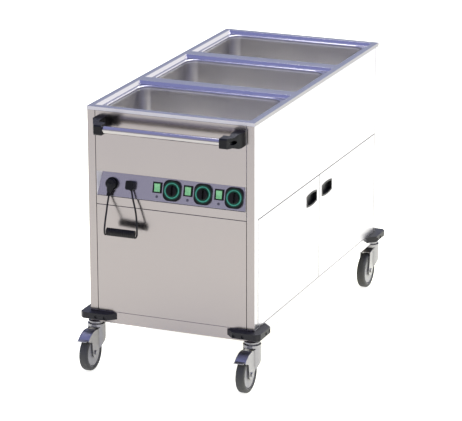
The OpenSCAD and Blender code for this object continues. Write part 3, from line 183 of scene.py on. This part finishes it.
# The route is in millimetres from the middle of the cabinet, which stands frame_shift_y behind
# the frame's own middle, because the brake pedals reach out in front.
frame_shift_y = 39.0
plug_route = np.array(
    [[-216, -604, 610], [-216, -606, 603], [-216, -611, 592], [-215, -621, 575], [-213, -630.5, 560],
     [-211.5, -640.5, 544.5], [-210, -649, 530], [-208.5, -656, 518], [-208, -659.5, 510],
     [-208, -660, 505.3]],
    float,
)
gland_route = np.array(
    [[-139, -595, 633], [-136, -599, 625], [-132, -604, 615], [-127, -609, 602], [-122, -612, 587],
     [-116.5, -615, 569], [-112.5, -618, 551], [-109.5, -621.5, 535], [-107, -626, 520],
     [-105.5, -629, 509], [-105, -630, 502.3]],
    float,
)
curls, curl_pitch, coil_r = 15.5, 6.55, 10.5
coil_x, coil_y, coil_z, coil_l = -208.0, -649.5, 497.3, 103.0
coil_swing, coil_sag = 9.0, 3.0
curl_steps, ease_turns, route_steps, lead_sides = 28, 0.5, 6, 14
turn = np.linspace(0, curls, int(curls * curl_steps) + 1)


def curl_x(t):
    """Way along the coil after t turns: eased from level over the first ease_turns."""
    u = np.clip(t / ease_turns, 0, 1)
    return (t * curl_pitch + (coil_l - curls * curl_pitch) / 2) * u * u * (3 - 2 * u)


along_coil = np.where(turn <= curls / 2, curl_x(turn), coil_l - curl_x(curls - turn))
coil = np.stack(
    [
        coil_x + along_coil,
        coil_y + coil_swing * along_coil / coil_l - coil_r * np.cos(2 * np.pi * turn),
        coil_z - coil_sag * along_coil / coil_l - coil_r * np.sin(2 * np.pi * turn),
    ],
    1,
)
lead = np.vstack(
    [
        through(gland_route, route_steps)[:-1],
        coil[::-1],
        through(plug_route, route_steps)[::-1][1:],
    ]
)
lead[:, 1] += frame_shift_y
lead /= 1000.0
lead_d = 0.006
around = np.linspace(0, 2 * np.pi, lead_sides, endpoint=False)
side_a, side_b = frames_along(lead)
lead_skin = lead[:, None] + lead_d / 2 * (
    np.cos(around)[None, :, None] * side_a[:, None]
    + np.sin(around)[None, :, None] * side_b[:, None]
)
pvc = moulded("satin_black_pvc", "191816", "24221f", 0.4, 1.5, 0.15, edge_mm=0.1, gloss=0.25)
mains_lead = smooth_grid("mains_lead", lead_skin, pvc, closed=True, caps=True)
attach(mains_lead, "trolley")
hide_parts("cord_from_gland", "cord_coil", "cord_to_plug")


# Base frame, posts and skins
# Austenitic stainless sheet, folded and welded, all brushed with 240 grit. The eye gets a
# satin surface that mirrors what is close and smears what is far along one direction.


def brushed_stainless(name, dark, light, rough, along, line_mm=3.0, swing=0.03):
    """Brushed sheet. The scratches of 0.1 mm are too fine to show, so faint lines of line_mm,
    drawn out many times along one axis, stand for them in tone and in roughness."""
    drawn_out, cloud_mm, cloud_share, edge_m = 60, 220, 0.35, 0.0012
    made, tree, shader = blank(name)
    where = add_node(tree, "ShaderNodeTexCoord").outputs["Object"]
    stretch = [1.0 / drawn_out if axis == along else 1.0 for axis in "XYZ"]
    drawn = add_node(tree, "ShaderNodeMapping", {"Vector": where, "Scale": stretch}).outputs[0]
    lines = add_node(
        tree, "ShaderNodeTexNoise", {"Vector": drawn, "Scale": 1000 / line_mm, "Detail": 4.0}
    ).outputs[0]
    cloud = add_node(
        tree, "ShaderNodeTexNoise", {"Vector": where, "Scale": 1000 / cloud_mm, "Detail": 2.0}
    ).outputs[0]
    both = add_node(tree, "ShaderNodeMix", {0: cloud_share, 2: lines, 3: cloud}, data_type="FLOAT")
    tone = add_node(tree, "ShaderNodeMix", {0: both.outputs[0]}, data_type="RGBA")
    tone.inputs[6].default_value = colour(dark)
    tone.inputs[7].default_value = colour(light)
    tree.links.new(tone.outputs[2], shader.inputs["Base Color"])
    span = {"From Min": 0.3, "From Max": 0.7, "To Min": rough - swing, "To Max": rough + swing}
    sheen = add_node(tree, "ShaderNodeMapRange", {0: lines, **span}).outputs[0]
    tree.links.new(sheen, shader.inputs["Roughness"])
    edge = add_node(tree, "ShaderNodeBevel", {"Radius": edge_m}, samples=4).outputs[0]
    tree.links.new(edge, shader.inputs["Normal"])
    shader.inputs["Metallic"].default_value = 1.0
    return made


def dress(material, *names):
    """Gives CAD nodes their finish. Their loose triangles are welded and shaded smooth up to
    crease_angle by live modifiers, so that round surfaces look round."""
    weld_gap, crease_angle, keep_flat = 1e-6, 30, 100
    for name in names:
        piece = nodes[name]
        piece.data.materials.clear()
        piece.data.materials.append(material)
        piece.data.polygons.foreach_set("use_smooth", np.ones(len(piece.data.polygons), bool))
        weld = piece.modifiers.new("weld", "WELD")
        weld.merge_threshold = weld_gap
        split = piece.modifiers.new("edges", "EDGE_SPLIT")
        split.split_angle = np.radians(crease_angle)
        flat = piece.modifiers.new("normals", "WEIGHTED_NORMAL")
        flat.weight = keep_flat


def finish_of(material):
    """A finished material's tree and shader, and the outputs that feed its colour and roughness."""
    tree = material.node_tree
    shader = next(n for n in tree.nodes if n.bl_idname == "ShaderNodeBsdfPrincipled")
    tone = shader.inputs["Base Color"].links[0].from_socket
    sheen = shader.inputs["Roughness"].links[0].from_socket
    return tree, shader, tone, sheen


def sideways(tree, source):
    """How far a vector reaches to the left or to the right: the size of its X."""
    across = add_node(tree, "ShaderNodeSeparateXYZ", {0: source}).outputs[0]
    return add_node(tree, "ShaderNodeMath", {0: across}, operation="ABSOLUTE").outputs[0]


square_on = {"From Min": 0.6, "From Max": 0.8}


def paint_side_light_and_seam_shade(material, side_light_code="bcbbc0", reach=0.2935, fold=0.262):
    """Paints light on the faces that look sideways beyond reach metres from the middle, so that they
    read brighter. Beyond fold, a spot that lies deep in a seam gets painted shade."""
    seam_m, seam_shade_code = 0.008, "1c1a19"
    tree, shader, tone, _ = finish_of(material)
    own = add_node(tree, "ShaderNodeTexCoord").outputs
    turned, out = sideways(tree, own["Normal"]), sideways(tree, own["Object"])
    flat = add_node(tree, "ShaderNodeMapRange", {0: turned, **square_on}).outputs[0]
    outer = add_node(tree, "ShaderNodeMath", {0: out, 1: reach}, operation="GREATER_THAN").outputs[0]
    share = add_node(tree, "ShaderNodeMath", {0: flat, 1: outer}, operation="MULTIPLY").outputs[0]
    # Painted light: faces that look sideways beyond reach are mixed towards a paler colour.
    side_light = add_node(tree, "ShaderNodeMix", {0: share, 6: tone}, data_type="RGBA")
    side_light.inputs[7].default_value = colour(side_light_code)
    # Painted shade: where ambient occlusion finds a near surface in a seam, the colour goes dark.
    bare = add_node(tree, "ShaderNodeAmbientOcclusion", {"Distance": seam_m}, samples=8).outputs["AO"]
    hidden = add_node(
        tree, "ShaderNodeMapRange", {0: bare, "From Min": 0.75, "From Max": 0.4}
    ).outputs[0]
    side = add_node(tree, "ShaderNodeMath", {0: out, 1: fold}, operation="GREATER_THAN").outputs[0]
    deep = add_node(tree, "ShaderNodeMath", {0: hidden, 1: side}, operation="MULTIPLY").outputs[0]
    seam_shade = add_node(tree, "ShaderNodeMix", {0: deep, 6: side_light.outputs[2]}, data_type="RGBA")
    seam_shade.inputs[7].default_value = colour(seam_shade_code)
    tree.links.new(seam_shade.outputs[2], shader.inputs["Base Color"])


# Both skins get painted light on their sideways faces and painted shade deep in their seams.
skin_steel = brushed_stainless("brushed_stainless_skin", "96908d", "9c9592", 0.2, "X")
paint_side_light_and_seam_shade(skin_steel)
dress(skin_steel, "base_frame", "corner_posts", "service_cover", "rear_panels")
side_steel = brushed_stainless("brushed_stainless_side", "a49c99", "aba3a0", 0.3, "Y")
paint_side_light_and_seam_shade(side_steel)
dress(side_steel, "left_upper_panel", "left_lower_panel", "right_upper_panel")

# The cheeks of the control recess look sideways. They get painted light, paler than the rest of the
# front panel, and scatter the light that it mirrors. The panel lies inside fold, so it gets no
# painted seam shade.
front_steel = brushed_stainless("brushed_stainless_front", "96908d", "9c9592", 0.2, "X")
paint_side_light_and_seam_shade(front_steel, side_light_code="f3f1ef", reach=0.0, fold=0.3)
tree, shader, _, _ = finish_of(front_steel)
cheek = sideways(tree, add_node(tree, "ShaderNodeTexCoord").outputs["Normal"])
metal = add_node(
    tree, "ShaderNodeMapRange", {0: cheek, **square_on, "To Min": 1.0, "To Max": 0.25}
).outputs[0]
tree.links.new(metal, shader.inputs["Metallic"])
dress(front_steel, "front_panel")

# Cupboard
# A welded liner with a lift-out slotted shelf on two runners, seen only with the doors open.
# It is left as the rolled sheet comes, duller than the skins.
liner_steel = brushed_stainless("rolled_stainless_liner", "a39f9c", "b0aca9", 0.42, "Y")
dress(liner_steel, "cupboard_liner", "cupboard_shelf", "shelf_runners")

# Deck and wells
# The deck is one sheet with three sloped recesses and rolled rims; the wells are deep-drawn
# bowls welded under them, with a strainer in one corner and a heater under each floor.

# The rims rolled down from the ledges are duller than the sheet. The straight lips under them get
# painted light, and the turned-down edge on the doors' side gets painted shade. Heights and ways
# out are in metres.
rim_z, lip_z, soft_z, edge_x = 0.889, 0.8835, 0.002, 0.285
rim_dullness = 0.3
deck_steel = brushed_stainless(
    "brushed_stainless_deck", "a6a4a9", "aaa8ad", 0.2, "Y", line_mm=6.0, swing=0.01
)
tree, shader, sheet_tone, sheen = finish_of(deck_steel)
own = add_node(tree, "ShaderNodeTexCoord").outputs
spot = add_node(tree, "ShaderNodeSeparateXYZ", {0: own["Object"]}).outputs
lip = add_node(
    tree, "ShaderNodeMapRange", {0: spot["Z"], "From Min": lip_z, "From Max": lip_z - soft_z}
).outputs[0]
# Painted light on the lips under the rims, then painted shade on the outward edge beyond edge_x.
painted_lip_light = add_node(tree, "ShaderNodeMix", {0: lip, 6: sheet_tone}, data_type="RGBA")
painted_lip_light.inputs[7].default_value = colour("e6e4e3")
outward = add_node(tree, "ShaderNodeSeparateXYZ", {0: own["Normal"]}).outputs["X"]
outward = add_node(
    tree, "ShaderNodeMapRange", {0: outward, "From Min": 0.5, "From Max": 0.7}
).outputs[0]
beyond = add_node(
    tree, "ShaderNodeMath", {0: spot["X"], 1: edge_x}, operation="GREATER_THAN"
).outputs[0]
edge = add_node(tree, "ShaderNodeMath", {0: outward, 1: beyond}, operation="MULTIPLY").outputs[0]
painted_edge_shade = add_node(tree, "ShaderNodeMix", {0: edge, 6: painted_lip_light.outputs[2]}, data_type="RGBA")
painted_edge_shade.inputs[7].default_value = colour("7d7b80")
tree.links.new(painted_edge_shade.outputs[2], shader.inputs["Base Color"])
rim = add_node(
    tree, "ShaderNodeMapRange", {0: spot["Z"], "From Min": rim_z, "From Max": rim_z - soft_z}
).outputs[0]
duller = add_node(
    tree, "ShaderNodeMath", {0: rim, 1: rim_dullness, 2: sheen}, operation="MULTIPLY_ADD"
).outputs[0]
tree.links.new(duller, shader.inputs["Roughness"])
dress(deck_steel, "top_deck")
well_steel = brushed_stainless("drawn_stainless_well", "d2d0cc", "d8d6d2", 0.3, "Z", swing=0.004)
dress(well_steel, "well_front", "well_middle", "well_rear")
drain_steel = brushed_stainless("turned_stainless_drain", "8f8d8b", "a3a19f", 0.25, "X")
dress(drain_steel, "well_drains")
heater_steel = brushed_stainless("annealed_heater_sheath", "6b625c", "7d736c", 0.5, "X")
dress(heater_steel, "well_heaters")

# Control fascia
# A separate sheet, brushed across, that leans back in its recess and carries every control. The
# thermostats sit behind it in plain moulded housings.
fascia_steel = brushed_stainless(
    "brushed_stainless_fascia", "a9a6ad", "b0adb4", 0.22, "X", swing=0.01
)
dress(fascia_steel, "control_panel")
housing = moulded("grey_thermoset_housing", "6f6d68", "7f7d78", 0.5, 2.0, 0.3)
dress(housing, "thermostats")

# Thermostats and switches
# Knobs, bezels and switch frames are glass-filled nylon, spark-eroded satin; the rings and the
# rockers are clear green acrylic with a lamp behind, so they glow a little by themselves.
nylon = moulded("satin_black_nylon", "090a0b", "0e0f11", 0.42, 0.9, 0.25, edge_mm=1.0, gloss=0.2)
dress(nylon, "parking_socket", "plug", "cord_gland")
fine_nylon = moulded("fine_black_nylon", "040404", "070708", 0.3, 0.6, 0.1, gloss=0.25)
dress(fine_nylon, "knob_1", "knob_2", "knob_3", "switch_frames")

# The bezels carry a painted glow of the rings, an emission that fades out on both sides of each
# ring. first_knob is the middle of the left one, and up_slope runs up the leaning fascia. A spot's
# place is taken from the nearest knob.
bezel_painted_glow = moulded("black_nylon_painted_ring_glow", "040404", "070708", 0.3, 0.6, 0.1, gloss=0.25)
first_knob = (0.0020, -0.54464, 0.64063)
knob_pitch = 0.109
up_slope = (0.0, 0.2591, 0.9658)
ring_mid, ring_half, glow_reach, painted_halo_strength = 0.0238, 0.001, 0.0085, 0.2
tree, shader, _, _ = finish_of(bezel_painted_glow)
spot = add_node(tree, "ShaderNodeTexCoord").outputs["Object"]
off = add_node(
    tree, "ShaderNodeVectorMath", {0: spot, 1: first_knob}, operation="SUBTRACT"
).outputs[0]
along_row = add_node(tree, "ShaderNodeSeparateXYZ", {0: off}).outputs[0]
aside = add_node(
    tree, "ShaderNodeMath", {0: along_row, 1: knob_pitch / 2, 2: -knob_pitch / 2}, operation="WRAP"
).outputs[0]
above = add_node(
    tree, "ShaderNodeVectorMath", {0: off, 1: up_slope}, operation="DOT_PRODUCT"
).outputs["Value"]
flat_spot = add_node(tree, "ShaderNodeCombineXYZ", {0: aside, 1: above}).outputs[0]
radius = add_node(
    tree, "ShaderNodeVectorMath", {0: flat_spot}, operation="LENGTH"
).outputs["Value"]
past_ring = add_node(
    tree, "ShaderNodeMath", {0: radius, 1: ring_mid}, operation="SUBTRACT"
).outputs[0]
distance = add_node(tree, "ShaderNodeMath", {0: past_ring}, operation="ABSOLUTE").outputs[0]
# Painted light: the bezel glows most at the ring and fades out by glow_reach.
painted_halo = add_node(
    tree,
    "ShaderNodeMapRange",
    {0: distance, "From Min": ring_half, "From Max": glow_reach, "To Min": painted_halo_strength, "To Max": 0.0},
    interpolation_type="SMOOTHSTEP",
).outputs[0]
tree.links.new(painted_halo, shader.inputs["Emission Strength"])
shader.inputs["Emission Color"].default_value = colour("2fa07e")
dress(bezel_painted_glow, "knob_bezels")


def lit_acrylic(name, dark, light, glow, patch_mm):
    """Dyed acrylic over a lamp: the glow is uneven by patches the size of patch_mm."""
    made, tree, shader = blank(name)
    where = add_node(tree, "ShaderNodeTexCoord").outputs["Object"]
    cloud = add_node(
        tree, "ShaderNodeTexNoise", {"Vector": where, "Scale": 1000 / patch_mm, "Detail": 1.0}
    ).outputs[0]
    tone = add_node(tree, "ShaderNodeMix", {0: cloud}, data_type="RGBA")
    tone.inputs[6].default_value = colour(dark)
    tone.inputs[7].default_value = colour(light)
    tree.links.new(tone.outputs[2], shader.inputs["Base Color"])
    tree.links.new(tone.outputs[2], shader.inputs["Emission Color"])
    shader.inputs["Emission Strength"].default_value = glow
    shader.inputs["Roughness"].default_value = 0.25
    shader.inputs["IOR"].default_value = 1.49
    return made


ring_green = lit_acrylic("lit_teal_acrylic", "25806a", "4a9c84", 0.24, 9.0)
dress(ring_green, "glow_rings")
lens_green = lit_acrylic("lit_green_lens", "5a9c64", "80be86", 0.17, 8.0)
dress(lens_green, "rocker_1", "rocker_2", "rocker_3")

# Switch marks
# A small grey dot is screen-printed on the fascia under each switch. It stands for a mark that is
# too small to read, so it is plain, and drawn a little thicker than a film of ink.
mark_ink = moulded("grey_screen_ink", "45434c", "504e58", 0.6, 0.8, 0.05, edge_mm=0.05)
dot_r_mm, dot_sides = 4.6, 20
first_dot_x, dot_up, ink_t = -0.051, 0.0150, 0.00012
fascia_foot_y, fascia_foot_z = -0.555, 0.602
lean_y, lean_z = up_slope[1:]
turn_round = np.linspace(0, 2 * np.pi, dot_sides, endpoint=False)
radii = np.array([0.0, dot_r_mm])[:, None] / 1000
for number in range(3):
    # A disc: radius by cos across the fascia, radius by sin up its slope, and ink_t off it.
    across = first_dot_x + number * knob_pitch + radii * np.cos(turn_round)
    up = dot_up + radii * np.sin(turn_round)
    dot_points = np.stack(
        [
            across,
            fascia_foot_y + lean_y * up - lean_z * ink_t,
            fascia_foot_z + lean_z * up + lean_y * ink_t,
        ],
        -1,
    )
    mark = smooth_grid("switch_mark_%d" % (number + 1), dot_points, mark_ink, closed=True)
    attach(mark, "trolley")

# Push handle
# A polished stainless tube held in two moulded nylon brackets, each on one cap screw. It mirrors
# more sharply than the brushed skins.
tube_steel = brushed_stainless("polished_stainless_tube", "aaa6a2", "b0aca8", 0.16, "X")
dress(tube_steel, "push_bar")
dress(nylon, "handle_bracket_left", "handle_bracket_right")

# Doors
# Two folded doors hinged at the outer posts, each with a shell pull, held shut by catches. They
# are brushed like the sides, and the pulls and catches are moulded black nylon.
dress(side_steel, "door_front", "door_rear")
dress(nylon, "door_pull_front", "door_pull_rear", "door_catches")

# Bumpers and fixings
# Corner bumpers moulded in dark grey polyethylene, screwed to the base frame from outside. The
# hinge pins are bright zinc, and the screws are zinc passivated black.
bumper_grey = moulded(
    "satin_grey_polyethylene", "202020", "292828", 0.5, 1.2, 0.3, edge_mm=1.5, gloss=0.25
)
dress(bumper_grey, "corner_bumpers")


def zinc_plate(name, dark, light, rough):
    """Zinc on pressed steel: a fine spangle in tone and in gloss over a half-dull metal."""
    spangle_mm, gloss_swing, edge_m = 6, 0.06, 0.0006
    made, tree, shader = blank(name)
    where = add_node(tree, "ShaderNodeTexCoord").outputs["Object"]
    spangle = add_node(
        tree, "ShaderNodeTexNoise", {"Vector": where, "Scale": 1000 / spangle_mm, "Detail": 3.0}
    ).outputs[0]
    tone = add_node(tree, "ShaderNodeMix", {0: spangle}, data_type="RGBA")
    tone.inputs[6].default_value = colour(dark)
    tone.inputs[7].default_value = colour(light)
    tree.links.new(tone.outputs[2], shader.inputs["Base Color"])
    sheen = add_node(
        tree,
        "ShaderNodeMapRange",
        {0: spangle, "To Min": rough - gloss_swing, "To Max": rough + gloss_swing},
    ).outputs[0]
    tree.links.new(sheen, shader.inputs["Roughness"])
    edge = add_node(tree, "ShaderNodeBevel", {"Radius": edge_m}, samples=4).outputs[0]
    tree.links.new(edge, shader.inputs["Normal"])
    shader.inputs["Metallic"].default_value = 1.0
    return made


zinc = zinc_plate("bright_zinc_plate", "8d8c8e", "999899", 0.36)
dress(zinc, "door_hinge_pins")
dark_zinc = zinc_plate("black_passivated_zinc", "2a2a2c", "353537", 0.4)
dress(dark_zinc, "fixing_screws")

# Casters
# Pressed forks on ball races, a moulded grey wheel centre with a rubber tyre on each, and a
# brake pedal on the two at the operator's end. The grooves of the wheel centres get painted shade.
dress(zinc, "caster_heads", "brake_pedals_left", "brake_pedals_right")
wheel_grey = moulded("grey_polypropylene", "8f8e8b", "9a9996", 0.4, 1.5, 0.2)
groove_m = 0.004
tree, shader, moulding, _ = finish_of(wheel_grey)
# Painted shade: where ambient occlusion finds the groove's walls close by, the colour goes dark.
bare = add_node(tree, "ShaderNodeAmbientOcclusion", {"Distance": groove_m}, samples=8).outputs["AO"]
in_groove = add_node(
    tree, "ShaderNodeMapRange", {0: bare, "From Min": 0.8, "From Max": 0.5}
).outputs[0]
groove_shade = add_node(tree, "ShaderNodeMix", {0: in_groove, 6: moulding}, data_type="RGBA")
groove_shade.inputs[7].default_value = colour("1e1e1c")
tree.links.new(groove_shade.outputs[2], shader.inputs["Base Color"])
tyre_grey = moulded("grey_tyre_rubber", "3b3b38", "484844", 0.6, 2.0, 0.4, edge_mm=1.0)
for corner in ("front_left", "front_right", "rear_left", "rear_right"):
    dress(zinc, "fork_" + corner)
    dress(wheel_grey, "hub_" + corner)
    dress(tyre_grey, "tyre_" + corner)

# Studio
# A pale painted floor that glows a little, under a grey sky that turns blue overhead and has one
# bright window behind the trolley. One soft lamp stands behind it on the doors' side and one
# above it, and the camera sees the sky as plain white.
floor_paint, tree, shader = blank("pale_floor_paint")
where = add_node(tree, "ShaderNodeTexCoord").outputs["Object"]
dapple = add_node(tree, "ShaderNodeTexNoise", {"Vector": where, "Scale": 3.0}).outputs[0]
tone = add_node(tree, "ShaderNodeMix", {0: dapple}, data_type="RGBA")
tone.inputs[6].default_value = colour("f7f5d2")
tone.inputs[7].default_value = colour("faf8d6")
tree.links.new(tone.outputs[2], shader.inputs["Base Color"])
shader.inputs["Emission Color"].default_value = (1.0, 1.0, 1.0, 1.0)
shader.inputs["Emission Strength"].default_value = 0.78
shader.inputs["Roughness"].default_value = 0.9
floor_half = 40.0
floor_side = np.linspace(-floor_half, floor_half, 5)
u, v = np.meshgrid(floor_side, floor_side, indexing="ij")
floor = smooth_grid("studio_floor", np.stack([u, v, np.zeros_like(u)], -1), floor_paint)

front_wall, back_wall = (0.58, 0.57, 0.70, 1.0), (0.50, 0.54, 0.72, 1.0)
zenith, window_light = (0.48, 0.52, 1.05, 1.0), (1.9, 1.9, 1.9, 1.0)
window_way = (0.38, 0.90, 0.22)
sky = bpy.data.worlds.new("studio_sky")
sky.use_nodes = True
bpy.context.scene.world = sky
sky_tree = sky.node_tree
sky_tree.nodes.clear()
sky_way = add_node(sky_tree, "ShaderNodeTexCoord").outputs["Generated"]
parts = add_node(sky_tree, "ShaderNodeSeparateXYZ", {0: sky_way}).outputs
back = add_node(
    sky_tree, "ShaderNodeMapRange", {0: parts["Y"], "From Min": -0.5, "From Max": 0.6}
).outputs[0]
wall = add_node(sky_tree, "ShaderNodeMix", {0: back}, data_type="RGBA")
wall.inputs[6].default_value = front_wall
wall.inputs[7].default_value = back_wall
height = add_node(
    sky_tree, "ShaderNodeMapRange", {0: parts["Z"], "From Min": 0.3, "From Max": 0.65}
).outputs[0]
dome = add_node(sky_tree, "ShaderNodeMix", {0: height, 6: wall.outputs[2]}, data_type="RGBA")
dome.inputs[7].default_value = zenith
window = add_node(
    sky_tree, "ShaderNodeVectorMath", {0: sky_way, 1: window_way}, operation="DOT_PRODUCT"
).outputs["Value"]
panel = add_node(
    sky_tree, "ShaderNodeMapRange", {0: window, "From Min": 0.80, "From Max": 0.93}
).outputs[0]
dome = add_node(sky_tree, "ShaderNodeMix", {0: panel, 6: dome.outputs[2]}, data_type="RGBA")
dome.inputs[7].default_value = window_light
glow = add_node(sky_tree, "ShaderNodeBackground", {"Color": dome.outputs[2], "Strength": 1.0})
backdrop = add_node(sky_tree, "ShaderNodeBackground", {"Color": (1, 1, 1, 1), "Strength": 1.0})
seen = add_node(sky_tree, "ShaderNodeLightPath").outputs["Is Camera Ray"]
mixed = add_node(
    sky_tree, "ShaderNodeMixShader", {0: seen, 1: glow.outputs[0], 2: backdrop.outputs[0]}
)
add_node(sky_tree, "ShaderNodeOutputWorld", {0: mixed.outputs[0]})


def lamp(name, place, target, width, height, power):
    """A soft white rectangular lamp at place, turned to target; it doesn't show itself."""
    made = bpy.data.objects.new(name, bpy.data.lights.new(name, "AREA"))
    bpy.context.scene.collection.objects.link(made)
    made.data.shape = "RECTANGLE"
    made.data.size, made.data.size_y = width, height
    made.data.energy = power
    way = Vector(target) - Vector(place)
    made.matrix_world = Matrix.Translation(place) @ way.to_track_quat("-Z", "Y").to_matrix().to_4x4()
    made.visible_camera = False
    return made


lamp("side_lamp", (5.0, 3.5, 1.4), (0.2, 0.0, 0.5), 5.0, 2.4, 60)
lamp("top_lamp", (0.4, 2.2, 4.5), (0.0, 0.0, 0.0), 4.0, 3.0, 260)

bpy.context.scene.view_settings.view_transform = "Standard"
bpy.context.scene.view_settings.look = "None"
bpy.context.scene.view_settings.exposure = 0.0
bpy.context.scene.view_settings.gamma = 1.0
